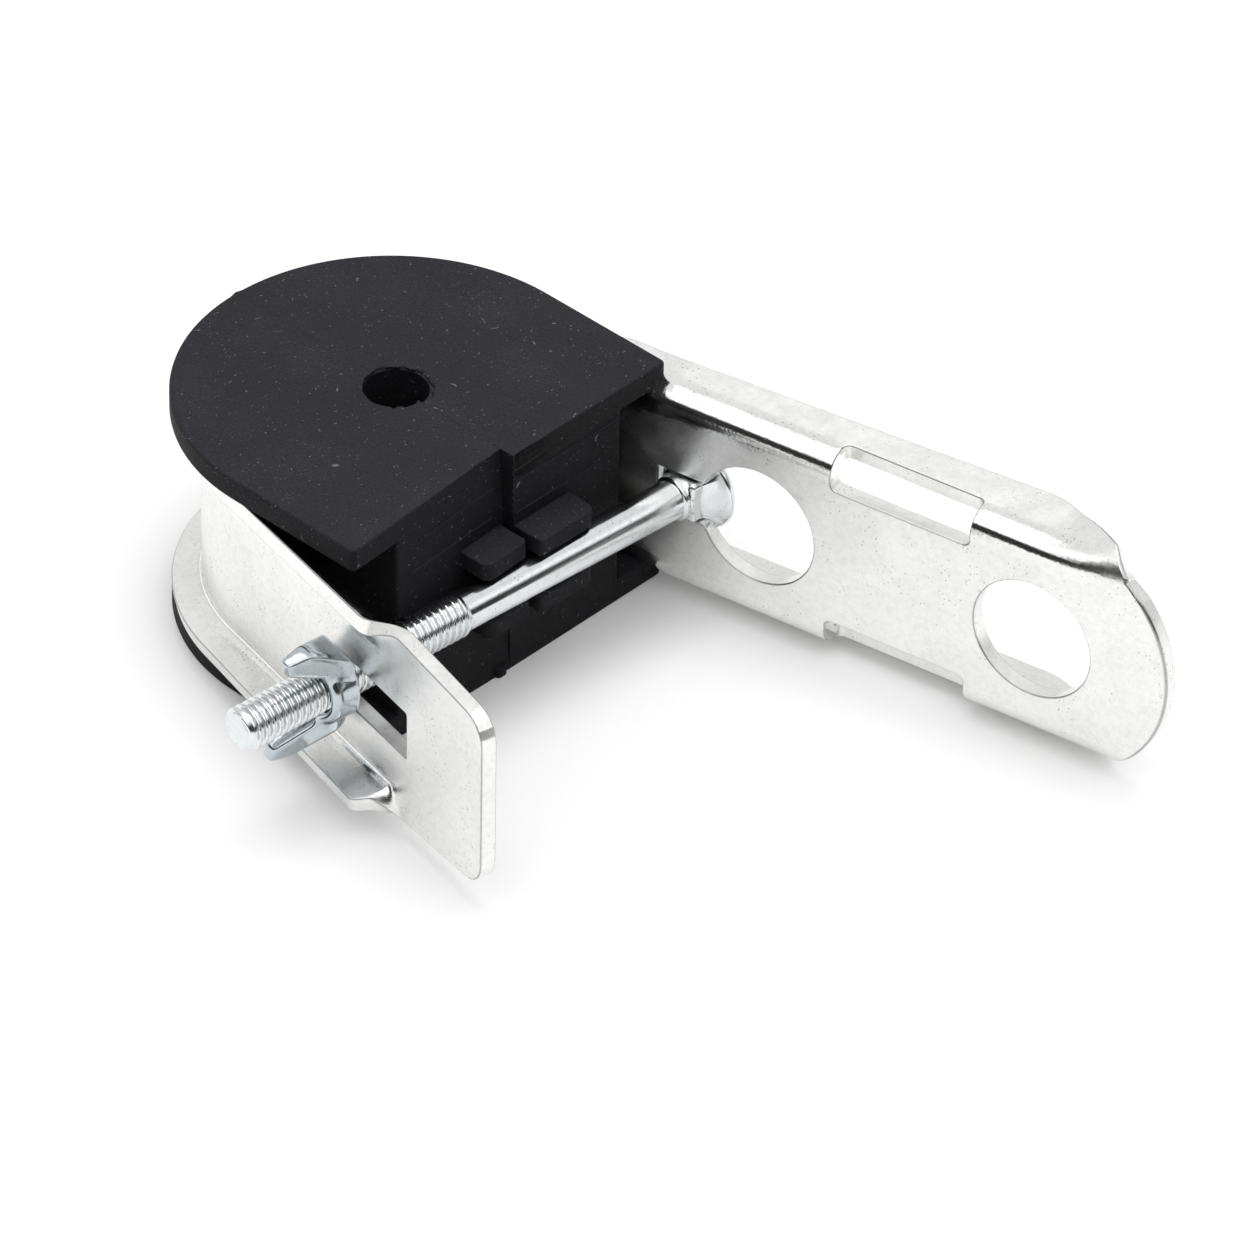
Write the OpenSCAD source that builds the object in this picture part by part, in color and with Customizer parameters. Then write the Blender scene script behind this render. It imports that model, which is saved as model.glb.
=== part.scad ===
// Suspension clamp for aerial cable: a J bracket of bent zinc-plated sheet, a split rubber insert,
// a square-neck bolt and a wing nut. The cable bore runs along Z through the origin.
// X points from the bore to the insert's front face, and Y runs from the short leg to the long arm.

/* [Rubber insert] */
// Diameter of the cable bore
bore_d = 11.3; // [8:0.1:15]
// Radius of the insert's core, which the hook wraps
core_r = 26.4; // [24:0.1:32]
// How far the end plates stand out past the core
plate_overhang = 10.8; // [8:0.1:12]
// How far the round of the end plates is set back from the bore
plate_back = 0.9; // [0:0.1:2]
// Thickness of an end plate
plate_t = 4.4; // [3:0.1:6]
// Distance from the bore's axis to the flat front face
front_x = 27; // [22:0.5:28]
// Gap at the seam between the two halves
seam_gap = 0.2; // [0.1:0.05:0.5]
// Length of a tongue on the front face
tongue_l = 6.5; // [4:0.5:10]
// Width of a tongue
tongue_w = 11.5; // [8:0.5:14]

/* [Bracket] */
// Thickness of the sheet
sheet = 3; // [2.5:0.1:3.5]
// Play between the core and the open hook
hook_play = 3; // [2:0.1:5]
// Height of the flat web between the two bends
web_h = 24.8; // [23:0.1:26]
// Radius of the bends, on the rounded side
bend_r = 4.4; // [4:0.1:6]
// How far the flanges open past square
flange_splay = 12; // [0:1:20]
// Angle of the long arm, outward
arm_angle = 10.2; // [4:0.1:14]
// Length of the long arm from the hook to its tip
arm_l = 133; // [125:1:160]
// Height of the arm's flat web, past the insert
arm_web_h = 32; // [28:0.1:36]
// Radius of the arm's rounded end
arm_end_r = 24; // [22:0.5:30]
// Reach of the flange round the hook
hook_flange = 7.6; // [6:0.1:8]
// Reach of the arm's flange at its wide end
arm_flange = 12.8; // [11:0.1:16]
// Angle of the short leg, outward
leg_angle = 12.5; // [8:0.5:16]
// Length of the short leg with its tab
leg_l = 76; // [70:1:90]
// Height of the tab at its root
tab_h = 37; // [34:0.1:42]

/* [Holes] */
// Diameter of the two eyes in the arm
eye_d = 22.5; // [20:0.1:22.6]
// Distance between the two eyes
eye_pitch = 54; // [50:0.5:60]
// Distance from the second eye's centre to the arm's tip
eye_edge = 25.6; // [24:0.1:32]
// Length of a band window
window_l = 27.2; // [22:0.1:30]
// Depth of a band window into the flange
window_n = 5; // [4:0.1:8]

/* [Bolt and nut] */
// Thread diameter
bolt_d = 7.94; // [6:0.02:8]
// Length of the bolt under its head
bolt_l = 101.5; // [95:0.5:120]
// Length of the thread
thread_l = 47.5; // [40:0.5:60]
// Diameter of the head
head_d = 15; // [13:0.5:18]
// Distance from the bore's axis to the bolt's axis
bolt_x = 31.5; // [31:0.1:34]
// Angle of the bolt, from the leg toward the arm
bolt_angle = 4.2; // [2:0.1:5]
// Base diameter of the wing nut
nut_d = 13; // [12:0.1:16]
// Height of the wing nut's hub
nut_h = 7.5; // [6:0.1:10]
// Span across the wings
wing_span = 23.4; // [22:0.1:28]

/* [Hidden] */
$fn = 96;
seat_gap = 0.25;       // core to hook where they lie closest
plate_gap = 0.4;       // end plate to the hook's flange
slot_play = 0.68;      // bolt to the tab's slot
neck_play = 0.3;       // square neck to the arm's notch
channel_play = 0.4;    // bolt to the channel across the insert's front
face_gap = 0.3;        // nut or head to the sheet, past the tilt between them
nut_fit = 0.05;        // nut to thread, radial
over = 1;              // how far cutters run past a face
join = 1;              // how far one run of the sheet reaches into the next
lap = 0.03;            // how much thinner it is there, so that it ends inside
web_z = web_h/2;
arm_web_z = arm_web_h/2;
tall = 2*arm_web_h;    // past the sheet's edges, above and below
bend_steps = 8;
hook_r = core_r + hook_play;
plate_r = core_r + plate_overhang;
// The core lies against the hook on the arm's side of its back
seat_dir = 130;
hook_c = -(hook_play - seat_gap)*[cos(seat_dir), sin(seat_dir)];
// Rise of the flange's rounded-side face over the web's edge at a reach n from the web's inner face
function flange_rise(n) =
    bend_r*cos(flange_splay) + (n - bend_r + bend_r*sin(flange_splay))*tan(flange_splay);
plate_z = web_z + flange_rise(hook_flange) + plate_gap;
top_z = plate_z + plate_t;
flange_run = arm_flange + 8;
// Frames of the two straight runs: start point, way along, way outward
arm_n = [-sin(arm_angle), cos(arm_angle)];
arm_u = [cos(arm_angle), sin(arm_angle)];
arm_0 = hook_c + hook_r*arm_n;
leg_n = [-sin(leg_angle), -cos(leg_angle)];
leg_u = [cos(leg_angle), -sin(leg_angle)];
leg_0 = hook_c + hook_r*leg_n;
hook_start = 90 + arm_angle;
hook_sweep = 180 - arm_angle - leg_angle;
// The bolt's line: a point on it, its way toward the arm
bolt_u = [sin(bolt_angle), cos(bolt_angle)];
bolt_0 = [bolt_x, 0];
bolt_r = bolt_d/2;
// The insert's front has a channel for the bolt, between the tongues
channel_x = bolt_x - core_r*tan(bolt_angle) - bolt_r/cos(bolt_angle) - channel_play;
channel_z = bolt_r + 2*channel_play;
shank_r = bolt_r - 0.45;
neck_w = bolt_d;
notch_w = neck_w + 2*neck_play;
// Where the bolt's line meets the arm's and the leg's outer faces, along the bolt
arm_at = ((arm_0 + sheet*arm_n - bolt_0)*arm_n)/(bolt_u*arm_n);
leg_at = ((leg_0 + sheet*leg_n - bolt_0)*leg_n)/(bolt_u*leg_n);
bolt_on_arm = (bolt_0 + arm_at*bolt_u - arm_0)*arm_u;
bolt_on_leg = (bolt_0 + leg_at*bolt_u - leg_0)*leg_u;
arm_tilt = arm_angle + bolt_angle;
leg_tilt = leg_angle - bolt_angle;
head_h = 4.6;
head_rim = 0.35*head_h;
head_lift = 0.7*head_d/2*tan(arm_tilt) + face_gap;
head_at = arm_at + head_lift;
neck_l = head_lift + sheet + 1.2;
tip_at = head_at - bolt_l;
nut_at = leg_at - nut_d/2*tan(leg_tilt) - face_gap;
// The arm's flanges step out to their full height just past the end plates, with a relief slit before them
relief = 1.5;
step_at = (front_x - arm_0.x + hook_flange*sin(arm_angle) + face_gap)/cos(arm_angle) + relief;
eye_2 = arm_l - eye_edge;
eye_1 = eye_2 - eye_pitch;
notch_end = bolt_on_arm - neck_w/2 - sheet*tan(arm_tilt)/2 - 1;
window_0 = (eye_1 + eye_2)/2 - window_l/2;
window_z = arm_web_z - 2.3;
arm_flange_start = arm_flange - 4;
tip_reach = sheet + 0.8;
slot_w = bolt_d + 2*slot_play;
slot_0 = bolt_on_leg - bolt_r - sheet*tan(leg_tilt)/2 - 1.2;
slot_l = 24.7;
flange_end = bolt_on_leg + 14;
flange_fade = 7;
tab_end_h = tab_h - 3.4;
tab_r = 5;
leg_flange = hook_flange + 1;
wing_t = 3.6;
wing_turn = 12;        // how far the wings stand turned from upright
zinc = [0.80, 0.82, 0.83];
rubber = [0.13, 0.13, 0.14];

// Points along an arc, both ends included
function arc(c, r, from, to) = [for (i = [0:bend_steps]) let (a = from + (to - from)*i/bend_steps)
    c + r*[cos(a), sin(a)]];

// The bracket's section, drawn with the reach outward from the inner face along X and with Z along Y.
// The web's flat part ends at the height z, the flanges end at the given reach, and skin takes a little
// off every face.
module section(z, reach, skin) {
    upper = [bend_r, z];
    lower = [bend_r, -z];
    round_r = bend_r - skin;
    hollow_r = bend_r - sheet + skin;
    opened = 90 + flange_splay;
    end_n = reach - skin;
    end_z = z + flange_rise(end_n) - skin/cos(flange_splay);
    end_t = (sheet - 2*skin)/cos(flange_splay);
    polygon(concat(
        [[end_n, -end_z]],
        arc(lower, round_r, 360 - opened, 180),
        arc(upper, round_r, 180, opened),
        [[end_n, end_z], [end_n, end_z - end_t]],
        arc(upper, hollow_r, opened, 180),
        arc(lower, hollow_r, 180, 360 - opened),
        [[end_n, end_t - end_z]]));
}

// Places children drawn as [along, outward, Z] on the arm or the leg
module on_arm() {
    translate([arm_0.x, arm_0.y, 0]) rotate([0, 0, arm_angle]) children();
}
module on_leg() {
    translate([leg_0.x, leg_0.y, 0]) rotate([0, 0, -leg_angle]) mirror([0, 1, 0]) children();
}
// Stands a drawing up: its X along the run, its Y along Z, through the whole reach outward
module upright(reach) {
    translate([0, reach, 0]) rotate([90, 0, 0]) linear_extrude(reach + over) children();
}
// Raises a drawing of a run seen from above through the whole height of the sheet
module raised() {
    translate([0, 0, -tall/2]) linear_extrude(tall) children();
}
// Sweeps the section straight along a run
module straight(from, to, z, skin) {
    translate([from, 0, 0]) rotate([90, 0, 90]) linear_extrude(to - from) section(z, flange_run, skin);
}

// The low part of the arm beside the insert, which starts a little inside the hook
module arm_root() {
    intersection() {
        straight(-join, step_at + join, web_z, lap);
        raised() translate([-join, -over])
            square([step_at + 2*join, hook_flange - lap + over]);
    }
}

// The tall part of the arm past the insert, with its rounded end
module arm_paddle() {
    intersection() {
        straight(step_at, arm_l, arm_web_z, 0);
        raised() polygon([
            [step_at, -over], [arm_l + over, -over], [arm_l + over, tip_reach],
            [eye_2 - 1, arm_flange], [step_at, arm_flange_start]]);
        upright(flange_run + over) union() {
            translate([-over, -tall/2]) square([arm_l - arm_end_r + over, tall]);
            translate([arm_l - arm_end_r, 0]) circle(r = arm_end_r);
        }
    }
}

module arm() {
    on_arm() difference() {
        union() {
            arm_root();
            arm_paddle();
        }
        for (s = [eye_1, eye_2]) translate([s, -over, 0]) rotate([-90, 0, 0])
            cylinder(d = eye_d, h = sheet + 2*over);
        translate([notch_end, -over, -notch_w/2]) cube([eye_1 - notch_end, sheet + 2*over, notch_w]);
        for (up = [0, 1]) mirror([0, 0, up]) {
            translate([window_0, -over, window_z]) cube([window_l, window_n + over, tall]);
            translate([step_at - relief, -over, web_z - over]) cube([relief, flange_run, tall]);
        }
    }
}

module hook() {
    translate([hook_c.x, hook_c.y, 0]) rotate([0, 0, hook_start]) rotate_extrude(angle = hook_sweep)
        translate([hook_r, 0]) section(web_z, hook_flange, 0);
}

module leg() {
    on_leg() difference() {
        union() {
            intersection() {
                straight(-join, flange_end, web_z, lap);
                raised() polygon([
                    [-join, -over], [flange_end + over, -over], [flange_end, sheet + 0.5],
                    [flange_end - flange_fade/2, leg_flange], [flange_end - flange_fade, leg_flange],
                    [join, hook_flange - lap], [-join, hook_flange - lap]]);
            }
            upright_tab();
        }
        translate([slot_0, -over, -slot_w/2]) cube([slot_l, sheet + 2*over, slot_w]);
    }
}

// The plain tab at the leg's end, past the flanges
module upright_tab() {
    root = flange_end - flange_fade;
    shoulder = root + 5;
    end = leg_l - tab_r;
    translate([0, sheet, 0]) rotate([90, 0, 0]) linear_extrude(sheet) {
        polygon([[root, -web_z], [shoulder, -tab_h/2], [end, -tab_end_h/2],
                 [end, tab_end_h/2], [shoulder, tab_h/2], [root, web_z]]);
        translate([end - join, tab_r - tab_end_h/2]) square([tab_r + join, tab_end_h - 2*tab_r]);
        for (up = [-1, 1]) translate([end, up*(tab_end_h/2 - tab_r)]) circle(r = tab_r);
    }
}

module bracket() {
    color(zinc) union() {
        arm();
        hook();
        leg();
    }
}

// Outline of the insert seen along the bore: round at the back, flat at the front
module insert_outline(r, back) {
    translate([-back, 0]) intersection() {
        circle(r = r);
        translate([-r, -r]) square([r + front_x/2, 2*r]);
    }
    translate([-back, -r]) square([front_x + back, 2*r]);
}

// A tongue that keeps the bolt in its place, drawn above the bolt beside the seam
module tongue() {
    chamfer = 2;
    translate([front_x - over, seam_gap/2 + 0.6, channel_z + 0.4]) linear_extrude(4.6) polygon([
        [0, 0], [tongue_l + over, 0], [tongue_l + over, tongue_w - chamfer],
        [tongue_l + over - chamfer, tongue_w], [0, tongue_w]]);
}

// One half of the insert, on the +Y side of the seam
module insert_half() {
    difference() {
        union() {
            translate([0, 0, -top_z]) linear_extrude(2*top_z) insert_outline(core_r, 0);
            for (up = [0, 1]) mirror([0, 0, up]) {
                translate([0, 0, plate_z]) linear_extrude(plate_t) insert_outline(plate_r, plate_back);
                tongue();
            }
        }
        translate([0, 0, -top_z - over]) cylinder(d = bore_d, h = 2*(top_z + over));
        translate([channel_x, -over, -channel_z]) cube([front_x, core_r + 2*over, 2*channel_z]);
        translate([-plate_r - over, -2*plate_r, -top_z - over])
            cube([2*plate_r + front_x, 2*plate_r + seam_gap/2, 2*(top_z + over)]);
    }
}

module insert_arm_half() { color(rubber) insert_half(); }
module insert_leg_half() { color(rubber) mirror([0, 1, 0]) insert_half(); }

// Places children drawn along Z on the bolt's line
module on_bolt() { translate([bolt_x, 0, 0]) rotate([-90, 0, -bolt_angle]) children(); }

module bolt() {
    tip = 1.2;
    cap_h = head_h - head_rim;
    cap_r = (head_d*head_d/4 + cap_h*cap_h)/(2*cap_h);
    color(zinc) on_bolt() {
        translate([0, 0, tip_at]) cylinder(r1 = bolt_r - tip, r2 = bolt_r, h = tip);
        translate([0, 0, tip_at + tip]) cylinder(r = bolt_r, h = thread_l - tip);
        translate([0, 0, tip_at + thread_l - 0.01]) cylinder(r = shank_r, h = bolt_l - thread_l);
        translate([-neck_w/2, -neck_w/2, head_at - neck_l]) cube([neck_w, neck_w, neck_l + 0.1]);
        translate([0, 0, head_at]) cylinder(d = head_d, h = head_rim);
        translate([0, 0, head_at + head_rim]) rotate_extrude() intersection() {
            translate([0, cap_h - cap_r]) circle(r = cap_r);
            square([head_d/2, cap_h]);
        }
    }
}

// One wing, drawn with its reach from the bolt along X and the bolt's way along Y
module wing() {
    tip_x = wing_span/2;
    root_x = nut_d/2 - 1.5;
    translate([0, wing_t/2, 0]) rotate([90, 0, 0]) linear_extrude(wing_t) polygon([
        [root_x, nut_h], [nut_d/2 + 1.8, nut_h - 1], [tip_x, -1], [tip_x - 0.4, -3.6],
        [tip_x - 1.2, -4], [tip_x - 3.2, -3.5], [root_x, 1.5]]);
}

module wing_nut() {
    color(zinc) on_bolt() translate([0, 0, nut_at - nut_h]) rotate([0, 0, 90 + wing_turn]) difference() {
        union() {
            cylinder(d1 = nut_d - 2, d2 = nut_d, h = nut_h);
            for (turn = [0, 180]) rotate([0, 0, turn]) wing();
        }
        translate([0, 0, -nut_h]) cylinder(r = bolt_r + nut_fit, h = 3*nut_h);
    }
}

bracket();
insert_arm_half();
insert_leg_half();
bolt();
wing_nut();
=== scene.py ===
import math
import bpy
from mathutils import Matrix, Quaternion, Vector


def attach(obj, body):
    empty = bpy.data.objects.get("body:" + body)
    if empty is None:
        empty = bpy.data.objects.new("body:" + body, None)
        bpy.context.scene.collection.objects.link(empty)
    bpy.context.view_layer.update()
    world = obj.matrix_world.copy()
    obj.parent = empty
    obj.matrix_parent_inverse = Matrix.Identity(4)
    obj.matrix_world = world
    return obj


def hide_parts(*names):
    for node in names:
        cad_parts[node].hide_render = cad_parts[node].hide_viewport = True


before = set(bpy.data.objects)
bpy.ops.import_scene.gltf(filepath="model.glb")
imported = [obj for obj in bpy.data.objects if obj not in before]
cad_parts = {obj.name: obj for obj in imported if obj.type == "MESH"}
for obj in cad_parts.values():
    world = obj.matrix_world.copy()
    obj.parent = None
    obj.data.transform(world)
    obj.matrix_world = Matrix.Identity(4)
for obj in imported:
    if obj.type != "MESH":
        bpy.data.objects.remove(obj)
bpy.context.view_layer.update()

# Bracket. One blank of 3 mm steel sheet is sheared and punched, then its edges are folded into flanges
# and the whole is bent into a J and zinc plated. The blank is drawn flat here in millimetres, as the way
# along the strip from the hook's end at the arm and the way across it, and then folded.
mm = 0.001
sheet = 3.0
hook_r = 29.4
hook_at = Vector((1.77, -2.11))
arm_angle = math.radians(10.2)
leg_angle = math.radians(12.5)
hook_l = hook_r*(math.pi - arm_angle - leg_angle)
arm_l = 133.5
arm_end_r = 25.0
leg_l = 76.0
web_hook = 12.4
web_arm = 16.0
web_rise = (12.0, 35.0)
bend_r = 4.4
bend = math.radians(78)
bend_l = bend_r*bend
arm_bend = 84/78


def spaced(a, b, steps):
    return [a + (b - a)*i/steps for i in range(steps + 1)]


def arc(cx, cy, r, start, end, steps):
    turns = [math.radians(a) for a in spaced(start, end, steps)]
    return [(cx + r*math.cos(a), cy + r*math.sin(a)) for a in turns]


def circle(cx, r):
    return arc(cx, 0, r, 0, 355, 71)


def rounded(corners, steps=5):
    """Points of a closed outline given as corners (x, y, radius)."""
    out = []
    for i, (x, y, r) in enumerate(corners):
        p = Vector((x, y))
        a = Vector(corners[i - 1][:2]) - p
        b = Vector(corners[(i + 1) % len(corners)][:2]) - p
        half = a.angle(b)/2
        nearly_straight = half > 1.565
        if r <= 0 or nearly_straight:
            out.append((x, y))
            continue
        d = r/math.tan(half)
        a, b = p + d*a.normalized(), p + d*b.normalized()
        c = p + (a + b - 2*p).normalized()*r/math.sin(half)
        for k in range(steps + 1):
            q = (a - c).normalized().slerp((b - c).normalized(), k/steps)*r
            out.append(tuple(c + q))
    return out


def rectangle(x0, x1, y0, y1, corner):
    return rounded([(x0, y0, corner), (x1, y0, corner), (x1, y1, corner), (x0, y1, corner)])


def ease(x, a, b):
    """0 up to a and 1 from b, with a smooth way between."""
    x = min(1, max(0, (x - a)/(b - a)))
    return x*x*(3 - 2*x)


def take_up(piece):
    """Makes a piece the only one that the next operators act on."""
    bpy.ops.object.select_all(action="DESELECT")
    bpy.context.view_layer.objects.active = piece
    piece.select_set(True)


def slab(name, outline, holes, z0, z1, edge):
    """A plate with rounded rims: rings round every outline, joined to each other, and two filled faces."""
    verts, faces, rims, painted_edge_shade_marks = [], [], ([], []), []
    steps = 3
    rings = 2*(steps + 1)
    for loop in [outline] + holes:
        n = len(loop)
        area = sum(loop[i - 1][0]*loop[i][1] - loop[i][0]*loop[i - 1][1] for i in range(n))
        turn = 1 if (area > 0) == (loop is outline) else -1
        inward = []
        for i in range(n):
            a = (Vector(loop[i]) - Vector(loop[i - 1])).normalized()
            b = (Vector(loop[(i + 1) % n]) - Vector(loop[i])).normalized()
            m = Vector((-a.y - b.y, a.x + b.x))*turn
            inward.append(m/max(0.3, m.length_squared/2))
        base = len(verts)
        for k in range(rings):
            low = k <= steps
            a = math.radians(90*(k if low else rings - 1 - k)/steps)
            for (x, y), m in zip(loop, inward):
                e = edge(x, y, low) if callable(edge) else edge
                s, c = e*(1 - math.sin(a)), e*(1 - math.cos(a))
                verts.append((x + m.x*s, y + m.y*s, z0 + c if low else z1 - c))
                # Vertices in the middle of each rounded rim are marked for painted edge shade, a dark line
                # drawn along the edges.
                painted_edge_shade_marks.append(0 if k in (0, steps, steps + 1, rings - 1) else 1)
        for k in range(rings - 1):
            one, two = base + k*n, base + (k + 1)*n
            faces += [(one + i, one + (i + 1) % n, two + (i + 1) % n, two + i) for i in range(n)]
        rims[0].append((base, n))
        rims[1].append((base + (rings - 1)*n, n))
    mesh = bpy.data.meshes.new(name)
    mesh.from_pydata(verts, [], faces)
    mesh.attributes.new("painted_edge_shade", "FLOAT", "POINT").data.foreach_set("value", painted_edge_shade_marks)
    piece = bpy.data.objects.new(name, mesh)
    bpy.context.collection.objects.link(piece)
    take_up(piece)
    for rim in rims:
        bpy.ops.object.mode_set(mode="EDIT")
        bpy.ops.mesh.select_mode(type="EDGE")
        bpy.ops.mesh.select_all(action="DESELECT")
        bpy.ops.object.mode_set(mode="OBJECT")
        ring = set()
        for base, n in rim:
            ring |= {frozenset((base + i, base + (i + 1) % n)) for i in range(n)}
        for e in mesh.edges:
            e.select = frozenset(e.vertices) in ring
        bpy.ops.object.mode_set(mode="EDIT")
        bpy.ops.mesh.fill(use_beauty=True)
    bpy.ops.mesh.select_all(action="SELECT")
    bpy.ops.mesh.normals_make_consistent(inside=False)
    bpy.ops.object.mode_set(mode="OBJECT")
    return piece


def leg(s):
    """A place on the leg, counted from the hook, as a place along the strip."""
    return -hook_l - s


def flange(reach, web, turn=bend):
    """How far across the blank a flange goes that reaches so far out once it is bent."""
    return web + bend_l + (reach - bend_l/turn*(1 - math.cos(turn)))/math.sin(turn)


# Along the hook and leg the lower edge is a flange and the upper one only a curled lip. Both run out flat
# into the tab, and the upper bend also opens a little at the arm's tip.
lip = 18.6
tip_spread = 50
tip_start = (124.6, 19.3)
tip_corner = (120.4, 24.3)
wide_at, narrow_at, hook_edge_at = 105.5, 20, 4
leg_edge_at, tab_at = 47, 50.8
tab_half, tab_end_half = 18.5, 16.9


def edge_of(wide, narrow, at_hook, at_leg):
    """One long edge of the blank, from the arm's tip to the tab's end: corners (along, across, radius)."""
    return [(*tip_start, 0), (*tip_corner, 3),
            (wide_at, flange(wide, web_arm, bend*arm_bend), 12),
            (narrow_at, flange(narrow, web_arm, bend*arm_bend), 12),
            (hook_edge_at, at_hook, 12), (leg(0), at_hook, 0), (leg(leg_edge_at), at_leg, 2),
            (leg(tab_at), tab_half, 2), (leg(leg_l), tab_end_half, 5)]


upper = edge_of(12.2, 8.6, lip, lip)
lower = edge_of(14.2, 12.6, flange(7.6, web_hook), flange(9, web_hook))
lower = [(x, -y, r) for x, y, r in reversed(lower)]
blank_outline = arc(arm_l - arm_end_r, 0, arm_end_r, -tip_spread, tip_spread, 44) + rounded(upper + lower)
eye_r = 11.25
eye_1, eye_2 = 53.4, 107.4
notch_half, notch_at = 4.3, 33.6
mouth = math.degrees(math.asin(notch_half/eye_r))
keyhole = arc(eye_1, 0, eye_r, mouth - 180, 180 - mouth, 72)
keyhole += [(notch_at, notch_half), (notch_at, -notch_half)]
eye = circle(eye_2, eye_r)
window = rectangle(67.4, 94.6, 13.7, flange(5, web_arm, bend*arm_bend), 1.2)
other_window = [(x, -y) for x, y in window]
slot_half = 4.65
slot = rectangle(leg(29.1), leg(53.7), -slot_half, slot_half, 0.5)
sheared_r = 0.3
tip_rolled = (116, 124)


def sheared(x, y, low):
    """Rounding of a sheared rim, which is larger under the outer edge of the arm's tip."""
    outer = math.hypot(x - eye_2, y) > eye_r + 4
    return sheared_r*(1 + ease(x, *tip_rolled)) if low and outer else sheared_r


bracket = slab("zinc_bracket", blank_outline, [keyhole, eye, window, other_window, slot], 0, sheet, sheared)
tab_fade = (48.6, 52.2)
lip_fade = (40, 51.5)
tip_fade = (108, 126)
tip_open = 0.6
polish_edge = 1.5
creases = spaced(web_hook, web_arm + bend_l, 17)
creases += [web_arm, web_hook + bend_l, web_hook - polish_edge, web_arm + bend_l + polish_edge]
across = [leg(s) for s in [2, 4] + spaced(*tab_fade, 18)]
across += [leg(s) for s in spaced(lip_fade[0], tab_fade[0], 12)[:-1]]
across += spaced(*tip_fade, 12) + spaced(0, -hook_l, 60) + spaced(*web_rise, 16)
bpy.ops.object.mode_set(mode="EDIT")
for w in creases:
    for side in (1, -1):
        bpy.ops.mesh.select_all(action="SELECT")
        bpy.ops.mesh.bisect(plane_co=(0, side*w, 0), plane_no=(0, 1, 0))
for x in across:
    bpy.ops.mesh.select_all(action="SELECT")
    bpy.ops.mesh.bisect(plane_co=(x, 0, 0), plane_no=(1, 0, 0))
bpy.ops.object.mode_set(mode="OBJECT")


def web_at(x):
    """Half the flat web's width, which grows from the hook to the arm."""
    return web_hook + (web_arm - web_hook)*min(1, max(0, (x - web_rise[0])/(web_rise[1] - web_rise[0])))


def flat_at(x, w):
    """How far a bend has faded out: 1 at the tab, sooner in the upper lip, and in part at the arm's tip."""
    if w > 0:
        return max(ease(-x - hook_l, *lip_fade), tip_open*ease(x, *tip_fade))
    return ease(-x - hook_l, *tab_fade)


def fold(x, w, t):
    """Where a point of the blank comes to lie: along, across and through the sheet."""
    web = web_at(x)
    bent = bend*(1 + (arm_bend - 1)*ease(x, *web_rise) - flat_at(x, w))
    a, side = abs(w), math.copysign(1, w)
    n, z = t, a
    if a > web and bent > 0.01:
        r = bend_l/bent
        turn = min(a - web, bend_l)/r
        past = max(0, a - web - bend_l)
        n = r - (r - t)*math.cos(turn) + past*math.sin(turn)
        z = web + (r - t)*math.sin(turn) + past*math.cos(turn)
    turn = math.pi/2 + arm_angle + min(max(0, -x), hook_l)/hook_r
    out = Vector((math.cos(turn), math.sin(turn)))
    onward = Vector((out.y, -out.x))
    straight = x if x > 0 else -max(0, -x - hook_l)
    p = hook_at + (hook_r + n)*out + straight*onward
    return Vector((p.x, p.y, z*side))*mm


polish = bracket.data.attributes.new("polish", "FLOAT", "POINT")
for v in bracket.data.vertices:
    x, w, t = v.co
    past_web = abs(w) - web_at(x)
    on_bend = ease(past_web, -polish_edge, 0.5)*(1 - ease(past_web, bend_l, bend_l + polish_edge))
    polish.data[v.index].value = on_bend*(1 - flat_at(x, w))
    v.co = fold(x, w, t)


def finish_mesh(piece, angle=None):
    """Doubles merged, normals outward, and flat faces kept flat beside the rounded edges."""
    take_up(piece)
    bpy.ops.object.mode_set(mode="EDIT")
    bpy.ops.mesh.select_all(action="SELECT")
    bpy.ops.mesh.remove_doubles(threshold=0.002*mm)
    bpy.ops.mesh.normals_make_consistent(inside=False)
    bpy.ops.object.mode_set(mode="OBJECT")
    if angle is None:
        bpy.ops.object.shade_smooth()
    else:
        bpy.ops.object.shade_smooth_by_angle(angle=math.radians(angle))
    level = piece.modifiers.new("flats", "WEIGHTED_NORMAL")
    level.keep_sharp = True
    bpy.ops.object.modifier_apply(modifier="flats")


finish_mesh(bracket)


class Nodes:
    """A short way to add nodes to a tree and join them."""
    def __init__(self, tree):
        self.tree = tree

    def add(self, kind, **sets):
        node = self.tree.nodes.new(kind)
        for key, value in sets.items():
            setattr(node, key, value)
        return node

    def join(self, a, b):
        self.tree.links.new(a, b)

    def noise(self, at, scale, detail):
        tex = self.add("ShaderNodeTexNoise")
        tex.inputs["Scale"].default_value = scale
        tex.inputs["Detail"].default_value = detail
        self.join(at, tex.inputs["Vector"])
        return tex

    def calc(self, kind, a, b, clamp=False):
        node = self.add("ShaderNodeMath", operation=kind, use_clamp=clamp)
        for socket, value in zip(node.inputs, (a, b)):
            if isinstance(value, (int, float)):
                socket.default_value = value
            else:
                self.join(value, socket)
        return node.outputs[0]


def material(name, color, metallic, roughness):
    m = bpy.data.materials.new(name)
    m.use_nodes = True
    shader = m.node_tree.nodes["Principled BSDF"]
    shader.inputs["Base Color"].default_value = (*color, 1)
    shader.inputs["Metallic"].default_value = metallic
    shader.inputs["Roughness"].default_value = roughness
    return m, Nodes(m.node_tree), shader


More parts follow.
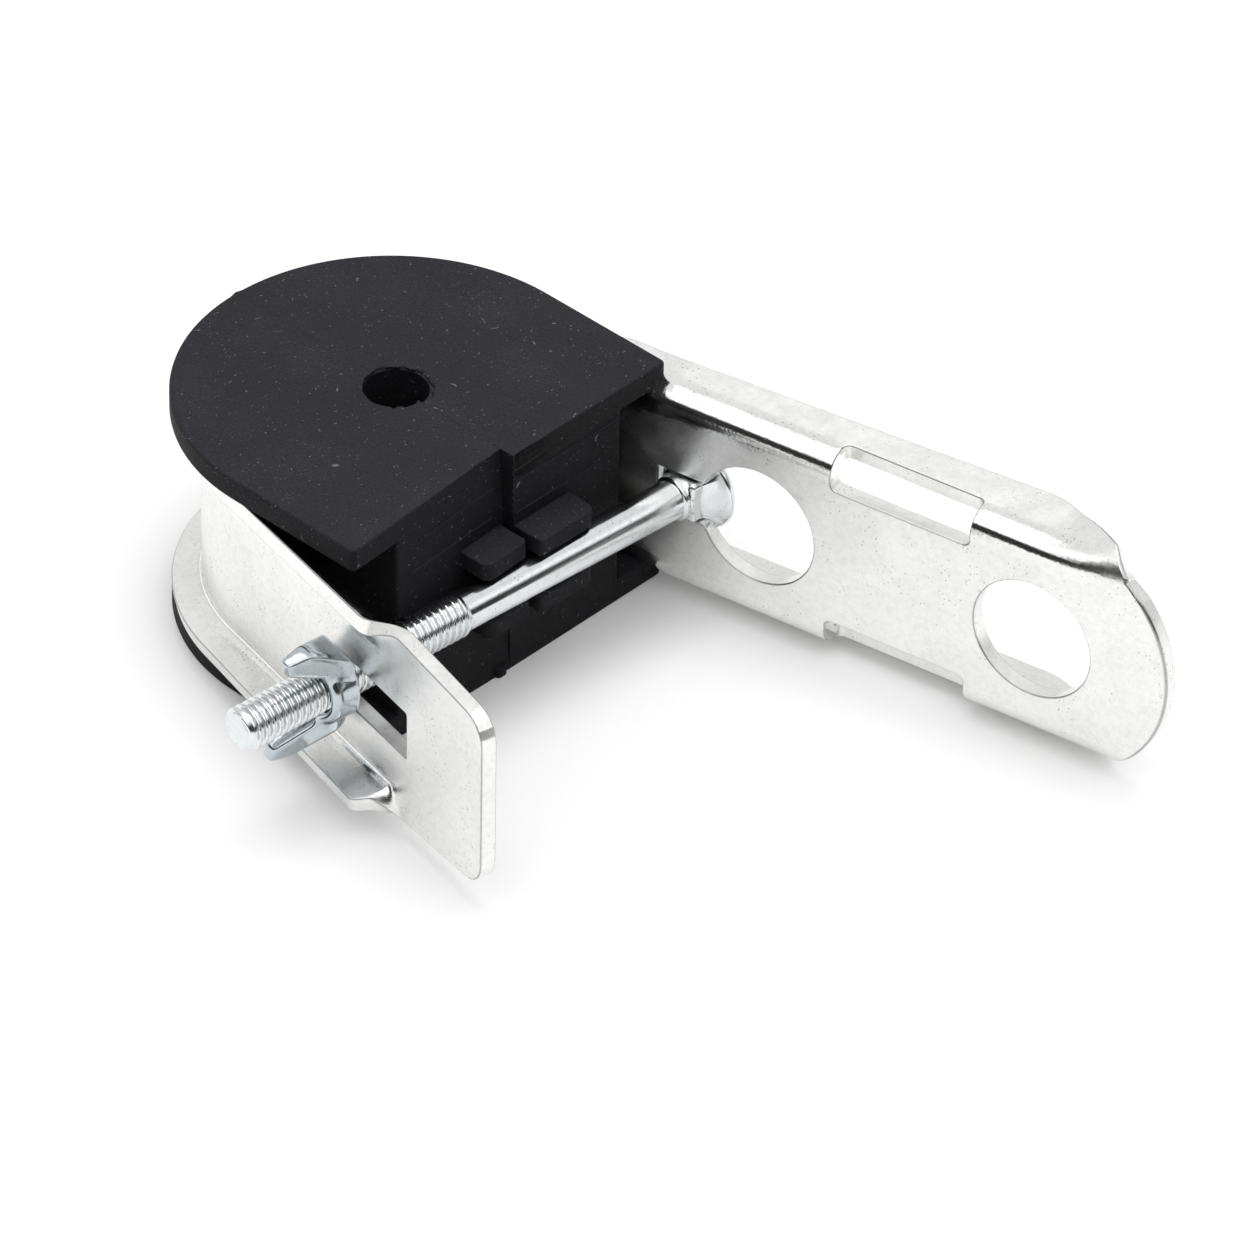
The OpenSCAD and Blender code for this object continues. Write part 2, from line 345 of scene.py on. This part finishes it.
def wear_group():
    """What plating and handling leave on zinc: a cloudy and mottled tint, dull patches and fine pits."""
    tree = bpy.data.node_groups.new("zinc_wear", "ShaderNodeTree")
    tree.interface.new_socket("Tint", in_out="OUTPUT", socket_type="NodeSocketColor")
    for name in ("Dull", "Height"):
        tree.interface.new_socket(name, in_out="OUTPUT", socket_type="NodeSocketFloat")
    n = Nodes(tree)
    out = n.add("NodeGroupOutput")
    at = n.add("ShaderNodeTexCoord").outputs["Object"]
    along_arm = n.add("ShaderNodeMapping")
    along_arm.inputs["Rotation"].default_value = (0, 0, -arm_angle)
    n.join(at, along_arm.inputs[0])

    def noise(scale, detail):
        return n.noise(along_arm.outputs[0], scale, detail).outputs[0]

    def ramp(value, *stops):
        r = n.add("ShaderNodeValToRGB")
        for i, (place, tone) in enumerate(stops):
            e = r.color_ramp.elements[i]
            e.position = place
            e.color = (*(tone if isinstance(tone, tuple) else (tone, tone, tone)), 1)
        n.join(value, r.inputs[0])
        return r.outputs[0]

    def mix(a, b, kind, amount):
        m = n.add("ShaderNodeMix", data_type="RGBA", blend_type=kind)
        m.inputs["Factor"].default_value = amount
        n.join(a, m.inputs["A"])
        n.join(b, m.inputs["B"])
        return m.outputs["Result"]

    cloud = ramp(noise(70, 6), (0.35, (0.87, 0.87, 0.86)), (0.65, (0.93, 0.93, 0.92)))
    grain = ramp(noise(2300, 3), (0.38, 0.95), (0.62, 1.0))
    mottle = ramp(noise(900, 5), (0.36, 0.93), (0.56, 1.0))
    cell = n.add("ShaderNodeTexVoronoi")
    cell.inputs["Scale"].default_value = 1150
    n.join(at, cell.inputs["Vector"])
    spots = ramp(cell.outputs["Distance"], (0.08, 0.20), (0.20, 1.0))
    free_of_spots = ramp(noise(170, 3), (0.50, 1.0), (0.60, 0.0))
    pits = mix(spots, free_of_spots, "LIGHTEN", 1)
    plated = mix(mix(cloud, grain, "MULTIPLY", 0.8), mottle, "MULTIPLY", 0.8)
    n.join(mix(plated, pits, "MULTIPLY", 0.7), out.inputs["Tint"])
    n.join(ramp(noise(240, 6), (0.3, 0.28), (0.75, 0.42)), out.inputs["Dull"])
    n.join(mix(noise(1900, 3), noise(300, 3), "MIX", 0.35), out.inputs["Height"])
    return tree


wear = wear_group()


def wear_on(n, shader, bump, gloss, rubbed=None):
    """Puts the wear on a shader, down to the gloss all over or where an attribute says it was rubbed."""
    group = n.add("ShaderNodeGroup", node_tree=wear)
    plated = n.add("ShaderNodeMix", data_type="RGBA", blend_type="MULTIPLY")
    plated.inputs["Factor"].default_value = 1
    plated.inputs["B"].default_value = shader.inputs["Base Color"].default_value
    n.join(group.outputs["Tint"], plated.inputs["A"])
    n.join(plated.outputs["Result"], shader.inputs["Base Color"])
    dull = n.add("ShaderNodeMix", data_type="FLOAT")
    dull.inputs["B"].default_value = gloss
    n.join(group.outputs["Dull"], dull.inputs["A"])
    if rubbed:
        n.join(n.add("ShaderNodeAttribute", attribute_name=rubbed).outputs["Fac"], dull.inputs["Factor"])
    else:
        dull.inputs["Factor"].default_value = 0.7
    n.join(dull.outputs["Result"], shader.inputs["Roughness"])
    rough = n.add("ShaderNodeBump")
    rough.inputs["Strength"].default_value = bump
    rough.inputs["Distance"].default_value = 0.4*mm
    n.join(group.outputs["Height"], rough.inputs["Height"])
    n.join(rough.outputs[0], shader.inputs["Normal"])


zinc, n, shader = material("zinc", (1.0, 1.0, 0.995), 1.0, 0.2)
wear_on(n, shader, 0.10, 0.12, "polish")
# Painted shade: the rounded rims are darkened to half, which draws dark lines along the sheet's edges.
painted_edge_shade = n.add("ShaderNodeMix", data_type="RGBA", blend_type="MULTIPLY")
painted_edge_shade.inputs["B"].default_value = (0.5, 0.5, 0.52, 1)
n.join(n.add("ShaderNodeAttribute", attribute_name="painted_edge_shade").outputs["Fac"], painted_edge_shade.inputs["Factor"])
n.join(shader.inputs["Base Color"].links[0].from_socket, painted_edge_shade.inputs["A"])
n.join(painted_edge_shade.outputs["Result"], shader.inputs["Base Color"])
bracket.data.materials.append(zinc)
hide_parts("bracket")
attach(bracket, "clamp")

# Rubber insert. Two like halves of black rubber, moulded with a core between two end plates, hold the
# cable in a bore between them. The half at the leg sits turned a little, so its front is set back at the
# seam. Tongues on the front face keep the bolt in its place.
bore_r = 5.65
core_r = 26.4
plate_r, plate_back = 37.2, 0.9
plate_z, top_z = 17.98, 22.38
front = 27.0
set_back = 2.8
seam = 0.01


def half_outline(r, shift, corner, ragged):
    """One half seen along the bore, on the +Y side: round at the back, flat in front, half the bore."""
    turns = spaced(math.pi, 0, 56)
    torn = [bore_r + ragged*(0.6 + math.sin(7*a + 0.5)*math.sin(3*a) + 0.4*math.sin(17*a)*math.sin(2*a)
                             + 2.2*max(0, math.cos(a - 0.45))**8) for a in turns]
    flat = rounded([(front, seam, 0), (front, r, corner), (-shift, r, 0)])[:-1]
    back = arc(-shift, 0, r, 90, 180 - math.degrees(seam/r), 48)
    return flat + back + [(q*math.cos(a), max(seam, q*math.sin(a))) for q, a in zip(torn, turns)]


def at_rim(inner, outer):
    """Rounding of a plate's rim: one radius along the seam and the bore, and another round the outside."""
    return lambda x, y, low: inner if abs(y) < 0.5 or math.hypot(x, y) < bore_r + 0.2 else outer


def join_up(piece, others, how="UNION"):
    for other in others:
        step = piece.modifiers.new("join", "BOOLEAN")
        step.operation, step.solver, step.object = how, "EXACT", other
        take_up(piece)
        bpy.ops.object.modifier_apply(modifier="join")
        bpy.data.objects.remove(other)
    return piece


def tongue(y0, y1, z0, z1, reach):
    outline = rounded([(front - 4, y0, 0), (reach, y0, 0.8), (reach, y1, 2), (front - 4, y1, 0)])
    return slab("tongue", outline, [], z0, z1, 0.3)


def ridge(y0, y1, z):
    outline = [(front - 1, y0), (front + 0.25, y0), (front + 0.25, y1), (front - 1, y1)]
    return slab("ridge", outline, [], z - 0.2, z + 0.2, 0.1)


def insert_half(name, torn, tongue_y, reach, ridges):
    """A core with its two end plates, and in front two tongues and thin ridges, each (from, to, height)."""
    core = slab(name, half_outline(core_r, 0, 0.8, 0), [], 0.5 - top_z, top_z - 0.5, 0.1)
    plate = half_outline(plate_r, plate_back, 1.2, torn)
    rim = at_rim(0.02, 0.55)
    parts = [slab("plate", plate, [], z, z + top_z - plate_z, rim) for z in (plate_z, -top_z)]
    parts += [tongue(*tongue_y, *z, reach) for z in ((4.2, 7.6), (-7.6, -4.2))]
    parts += [ridge(*r) for r in ridges]
    return join_up(core, parts)


def flash():
    """A wavy web of rubber that was pressed out along the seam."""
    low, high, step = 11, 22.34, 0.42
    wavy = [(front + 0.25 + 0.4*math.sin(2.9*i)*math.sin(1.3*i + 1), low + step*i) for i in range(28)]
    web = slab("flash", [(front - 0.6, low)] + wavy + [(front - 0.6, high)], [], 0.06, 0.34, 0.05)
    for v in web.data.vertices:
        v.co = (v.co.x, v.co.z, v.co.y)
    return web


def nub():
    """What is left of the moulding's runner, low on the front."""
    outline = rounded([(front - 1, 1.2, 0), (front + 0.9, 1.2, 0.8),
                       (front + 0.9, 3.6, 0.8), (front - 1, 3.6, 0)])
    return slab("nub", outline, [], -22.3, -20.4, 0.3)


arm_half = insert_half("rubber_arm_half", 0.32, (0.6, 13.8), 33.4, [(0.8, 25, 16.6), (0.8, 20, 10.0)])
leg_half = insert_half("rubber_leg_half", 0.10, (0.7, 10.8), 33.6, [(2, 21, 15.6), (2.6, 23.5, 10.0)])
join_up(arm_half, [flash()])
join_up(leg_half, [nub()])
for v in leg_half.data.vertices:
    x, y, z = v.co
    turned = max(0, x/front)*max(0, 1 - y/plate_r)*(z + top_z)/(2*top_z)
    v.co = (x - set_back*turned, -y, z)
for half in (arm_half, leg_half):
    for v in half.data.vertices:
        v.co *= mm
    finish_mesh(half, 40)


def rubber_material():
    """Black rubber, paler on what faces up, partly from bloom and dust and partly painted light from above;
    mottled, and with specks and short hairs on it.
    """
    black, pale_dust_and_light = (0.0048, 0.0048, 0.0064), (0.145, 0.141, 0.172)
    m, n, shader = material("rubber", black, 0.0, 0.7)
    shader.inputs["Specular IOR Level"].default_value = 0.2
    at = n.add("ShaderNodeTexCoord").outputs["Object"]

    def noise(scale, detail):
        return n.noise(at, scale, detail).outputs[0]

    def calc(kind, a, b):
        return n.calc(kind, a, b, clamp=True)

    def fluff(scale, stretch, size, share):
        """A mask of scattered specks, or of short hairs where the cells are stretched and bent."""
        bent = n.add("ShaderNodeMix", data_type="VECTOR")
        bent.inputs["Factor"].default_value = 0.012
        n.join(at, bent.inputs["A"])
        n.join(n.noise(at, 160, 1).outputs["Color"], bent.inputs["B"])
        place = n.add("ShaderNodeMapping")
        place.inputs["Scale"].default_value = stretch
        n.join(bent.outputs["Result"], place.inputs[0])
        cell = n.add("ShaderNodeTexVoronoi")
        cell.inputs["Scale"].default_value = scale
        n.join(place.outputs[0], cell.inputs["Vector"])
        pick = n.add("ShaderNodeSeparateColor")
        n.join(cell.outputs["Color"], pick.inputs[0])
        near = calc("LESS_THAN", cell.outputs["Distance"], size)
        return calc("MULTIPLY", near, calc("LESS_THAN", pick.outputs[0], share))

    facing = n.add("ShaderNodeSeparateXYZ")
    n.join(n.add("ShaderNodeNewGeometry").outputs["Normal"], facing.inputs[0])
    # Painted light: faces turned up are made paler, partly as dust settled on them and partly as light
    # falling from above.
    upward = calc("MAXIMUM", facing.outputs["Z"], 0.08)
    mottle = calc("MULTIPLY", noise(60, 5), calc("POWER", noise(2600, 3), 2.2))
    top_light_and_bloom = calc("MULTIPLY", upward, calc("ADD", mottle, 0.11))
    specks = calc("ADD", fluff(950, (1, 1, 1), 0.14, 0.5), fluff(300, (0.5, 0.2, 1), 0.05, 0.3))
    dust_and_top_light = n.add("ShaderNodeMix", data_type="RGBA")
    dust_and_top_light.inputs["A"].default_value = (*black, 1)
    dust_and_top_light.inputs["B"].default_value = (*pale_dust_and_light, 1)
    share = calc("ADD", calc("MULTIPLY", top_light_and_bloom, 0.5), calc("MULTIPLY", specks, 0.8))
    n.join(share, dust_and_top_light.inputs["Factor"])
    n.join(dust_and_top_light.outputs["Result"], shader.inputs["Base Color"])
    skin = n.add("ShaderNodeBump")
    skin.inputs["Strength"].default_value = 0.8
    skin.inputs["Distance"].default_value = 0.5*mm
    n.join(calc("MULTIPLY", noise(1100, 3), noise(4200, 4)), skin.inputs["Height"])
    n.join(skin.outputs[0], shader.inputs["Normal"])
    return m


rubber = rubber_material()
for half, node in ((arm_half, "insert_arm_half"), (leg_half, "insert_leg_half")):
    half.data.materials.append(rubber)
    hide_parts(node)
    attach(half, "clamp")

# Bolt. A rolled 5/16 inch thread, a slightly thinner shank, a square neck that keys in the arm's notch and
# flares into a thin round head, all one zinc-plated steel bolt. Drawn as a grid wrapped round the bolt's
# line, with places along it counted toward the head.
bolt_angle = math.radians(4.2)
bolt_x = 31.5
bolt_u = Vector((math.sin(bolt_angle), math.cos(bolt_angle), 0))
bolt_e = Vector((math.cos(bolt_angle), -math.sin(bolt_angle), 0))
tip_at, tip_r = -63.8, 3.25
thread_end, thread_r, thread_depth = -16.0, 3.95, 0.74
pitch = 25.4/18
shank_r = 3.5
shoulder = 1.2
neck_at, neck_r, neck_half, neck_corner = 32.6, 4.1, 3.95, 0.9
flare_at, flare_sooner = 36.5, 2.2
head_at, head_r = 38.0, 7.9


def on_bolt(t, r, turn):
    out = math.cos(turn)*bolt_e + math.sin(turn)*Vector((0, 0, 1))
    return (Vector((bolt_x, 0, 0)) + t*bolt_u + r*out)*mm


def thread(t, turn):
    """Radius on the rolled thread: rounded crests and roots, fading out at the shank and at the tip."""
    wave = 0.5 + 0.5*math.cos(2*math.pi*(t/pitch - turn/(2*math.pi)))
    depth = thread_depth*(1 - ease(t, thread_end - 1.2, thread_end))
    r = thread_r - depth*ease(1 - wave, 0.1, 0.95)
    r += (shank_r - r)*ease(t, thread_end - 0.8, thread_end + 0.2)
    return min(r, tip_r + 0.9*(t - tip_at))


def square(half, corner, turn):
    """Radius of a square bar with rounded edges at a turn."""
    a = (turn + math.pi/4) % (math.pi/2) - math.pi/4
    return min(half/math.cos(a), half*math.sqrt(2) - corner*(math.sqrt(2) - 1))


def bolt_radius(t, turn):
    if t < thread_end + 0.3:
        return thread(t, turn)
    if t < neck_at - shoulder:
        return shank_r
    if t < neck_at:
        return shank_r + 0.55*ease(t, neck_at - shoulder, neck_at - 0.7)
    neck = neck_r + (square(neck_half, neck_corner, turn) - neck_r)*ease(t, neck_at, neck_at + 1.0)
    start = flare_at - flare_sooner*abs(math.cos(turn))
    flare = max(0, (t - start)/(head_at - start))
    return neck + (head_r - neck)*flare**1.8


rows = [tip_at + pitch*i/12 for i in range(int((thread_end + 0.4 - tip_at)*12/pitch) + 1)]
rows += spaced(thread_end + 0.5, neck_at - shoulder, 4)
rows += spaced(neck_at - shoulder, neck_at, 8)[1:]
rows += spaced(neck_at + 0.02, head_at + 0.02, 24)
crown = ((0.35, 8.05), (0.8, 8.0), (1.5, 7.3), (2.6, 5.6), (3.5, 3.4), (3.9, 1.4), (4.0, 0))
rings = [(tip_at + 0.3*(1 - ease(r, 2.2, 2.9)), r) for r in (0, 2.3, 2.8, 3.2)]
rings += [(t, None) for t in rows]
rings += [(head_at + h, r) for h, r in crown]
around = 96
bpy.ops.object.select_all(action="DESELECT")
bpy.ops.mesh.primitive_grid_add(x_subdivisions=around, y_subdivisions=len(rings) - 1, size=2)
bolt = bpy.context.object
bolt.name = "zinc_bolt"
for v in bolt.data.vertices:
    turn = math.pi*(v.co.x + 1)
    t, r = rings[round((v.co.y + 1)/2*(len(rings) - 1))]
    v.co = on_bolt(t, bolt_radius(t, turn) if r is None else r, turn)
finish_mesh(bolt, 50)
zinc_bolt, n, shader = material("zinc_bolt", (0.86, 0.88, 0.90), 1.0, 0.16)
wear_on(n, shader, 0.03, 0.08)
bolt.data.materials.append(zinc_bolt)
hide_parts("bolt")
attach(bolt, "screw")

# Wing nut. Cast in one piece and zinc plated: a round hub and two wings that start thick at the base and
# sweep out toward the bolt's tip, each ending in a small flat face. The roots are blended as cast.
nut_at, nut_h = -42.5, 5.4
nut_turn = math.radians(78)
hub_r, collar_r, collar_h, nut_bore = 6.2, 6.6, 0.9, 4.06
wing_root, wing_taper, wing_even_from = 4.4, 0.28, 11
wing_outline = [(0, 0.3), (7.2, 0.3), (8.9, 1.6), (12.4, 9.0),
                (11.8, 13.6), (8.6, 13.2), (5.2, 5.6), (0, 5.2)]


def wing(side):
    piece = slab("wing", wing_outline, [], -1, 1, 0.02)
    for v in piece.data.vertices:
        out, t, b = v.co
        v.co = (side*out, b*(wing_root - wing_taper*min(t, wing_even_from)), t)
    return piece


nut = slab("zinc_nut", circle(0, hub_r), [], 0, nut_h, 1.2)
collar = slab("collar", circle(0, collar_r), [], 0, collar_h, 0.3)
join_up(nut, [collar, wing(1), wing(-1)])
join_up(nut, [slab("bore", circle(0, nut_bore), [], -2, nut_h + 6, 0.05)], "DIFFERENCE")
nut.data.remesh_voxel_size = 0.16
nut.data.remesh_voxel_adaptivity = 0
take_up(nut)
bpy.ops.object.voxel_remesh()
blend = nut.modifiers.new("cast", "SMOOTH")
blend.factor = 0.5
blend.iterations = 290
bpy.ops.object.modifier_apply(modifier="cast")
for v in nut.data.vertices:
    x, y, t = v.co
    v.co = on_bolt(nut_at - t, math.hypot(x, y), nut_turn + math.atan2(y, x))
finish_mesh(nut)
zinc_nut, n, shader = material("zinc_nut", (0.60, 0.65, 0.69), 1.0, 0.16)
wear_on(n, shader, 0.06, 0.06)
nut.data.materials.append(zinc_nut)
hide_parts("wing_nut")
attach(nut, "nut")

# The stage: a white floor and a white sweep behind, under a bright ceiling. The room on the camera's side
# is dark up to the ceiling, and its reflection draws the dark lines along the bends.
az, el, roll = math.radians(42.85), math.radians(37.94), math.radians(1.23)
far = 1.694
aim_out, aim_z = 0.03935, -0.02728
sensor = 36
pixels_per_mm = 5.89
photo_pixels = 1254
floor_z = -0.0224
floor_lift = 0.05
aim = Vector((aim_out*math.cos(az), aim_out*math.sin(az), aim_z))
back = Vector((math.sin(az)*math.cos(el), -math.cos(az)*math.cos(el), math.sin(el)))
look = (-back).to_track_quat("-Z", "Y") @ Quaternion((0, 0, 1), roll)
camera = bpy.data.objects.new("camera", bpy.data.cameras.new("camera"))
bpy.context.collection.objects.link(camera)
camera.location = aim + far*back
camera.rotation_euler = look.to_euler()
camera.data.sensor_width = sensor
camera.data.lens = sensor*far*pixels_per_mm/(photo_pixels*mm)
camera.data.clip_end = 100
bpy.context.scene.camera = camera
bpy.ops.object.select_all(action="DESELECT")
bpy.ops.mesh.primitive_plane_add(size=20, location=(0, 0, floor_z))
floor = bpy.context.object
floor.name = "floor"
white, n, shader = material("floor", (0.93, 0.93, 0.93), 0, 1)
shader.inputs["Specular IOR Level"].default_value = 0
shader.inputs["Emission Color"].default_value = (1, 1, 1, 1)
path = n.add("ShaderNodeLightPath")
seen = path.outputs["Is Camera Ray"]
for ray in ("Is Glossy Ray", "Is Transmission Ray"):
    seen = n.calc("MAXIMUM", seen, path.outputs[ray])
n.join(n.calc("MULTIPLY", seen, floor_lift), shader.inputs["Emission Strength"])
floor.data.materials.append(white)
world = bpy.data.worlds.new("sky")
bpy.context.scene.world = world
world.use_nodes = True
n = Nodes(world.node_tree)
sky = world.node_tree.nodes["Background"]
toward = n.add("ShaderNodeTexCoord")


def sky_ramp(direction, dark, bright):
    """Light by how far a direction leans to the given one, from (place, light) to (place, light)."""
    lean = n.add("ShaderNodeVectorMath", operation="DOT_PRODUCT")
    lean.inputs[1].default_value = direction
    ramp = n.add("ShaderNodeMapRange", interpolation_type="SMOOTHSTEP")
    for key, value in zip(("From Min", "To Min", "From Max", "To Max"), (*dark, *bright)):
        ramp.inputs[key].default_value = value
    n.join(toward.outputs["Generated"], lean.inputs[0])
    n.join(lean.outputs["Value"], ramp.inputs["Value"])
    return ramp.outputs[0]


up = (0, 0, 1)
near = (math.sin(az), -math.cos(az), 0)
sweep = n.calc("ADD", sky_ramp(up, (0.05, 0.74), (0.65, 0.84)), sky_ramp(up, (0.85, 0), (0.96, 2.5)))
room = sky_ramp(up, (0.36, 0.03), (0.62, 1.45))
light = n.add("ShaderNodeMix", data_type="FLOAT")
n.join(sky_ramp(near, (-0.2, 0), (0.2, 1)), light.inputs["Factor"])
n.join(sweep, light.inputs["A"])
n.join(room, light.inputs["B"])
n.join(light.outputs["Result"], sky.inputs["Strength"])
sky.inputs["Color"].default_value = (1, 1, 1, 1)
bpy.context.scene.view_settings.view_transform = "Standard"
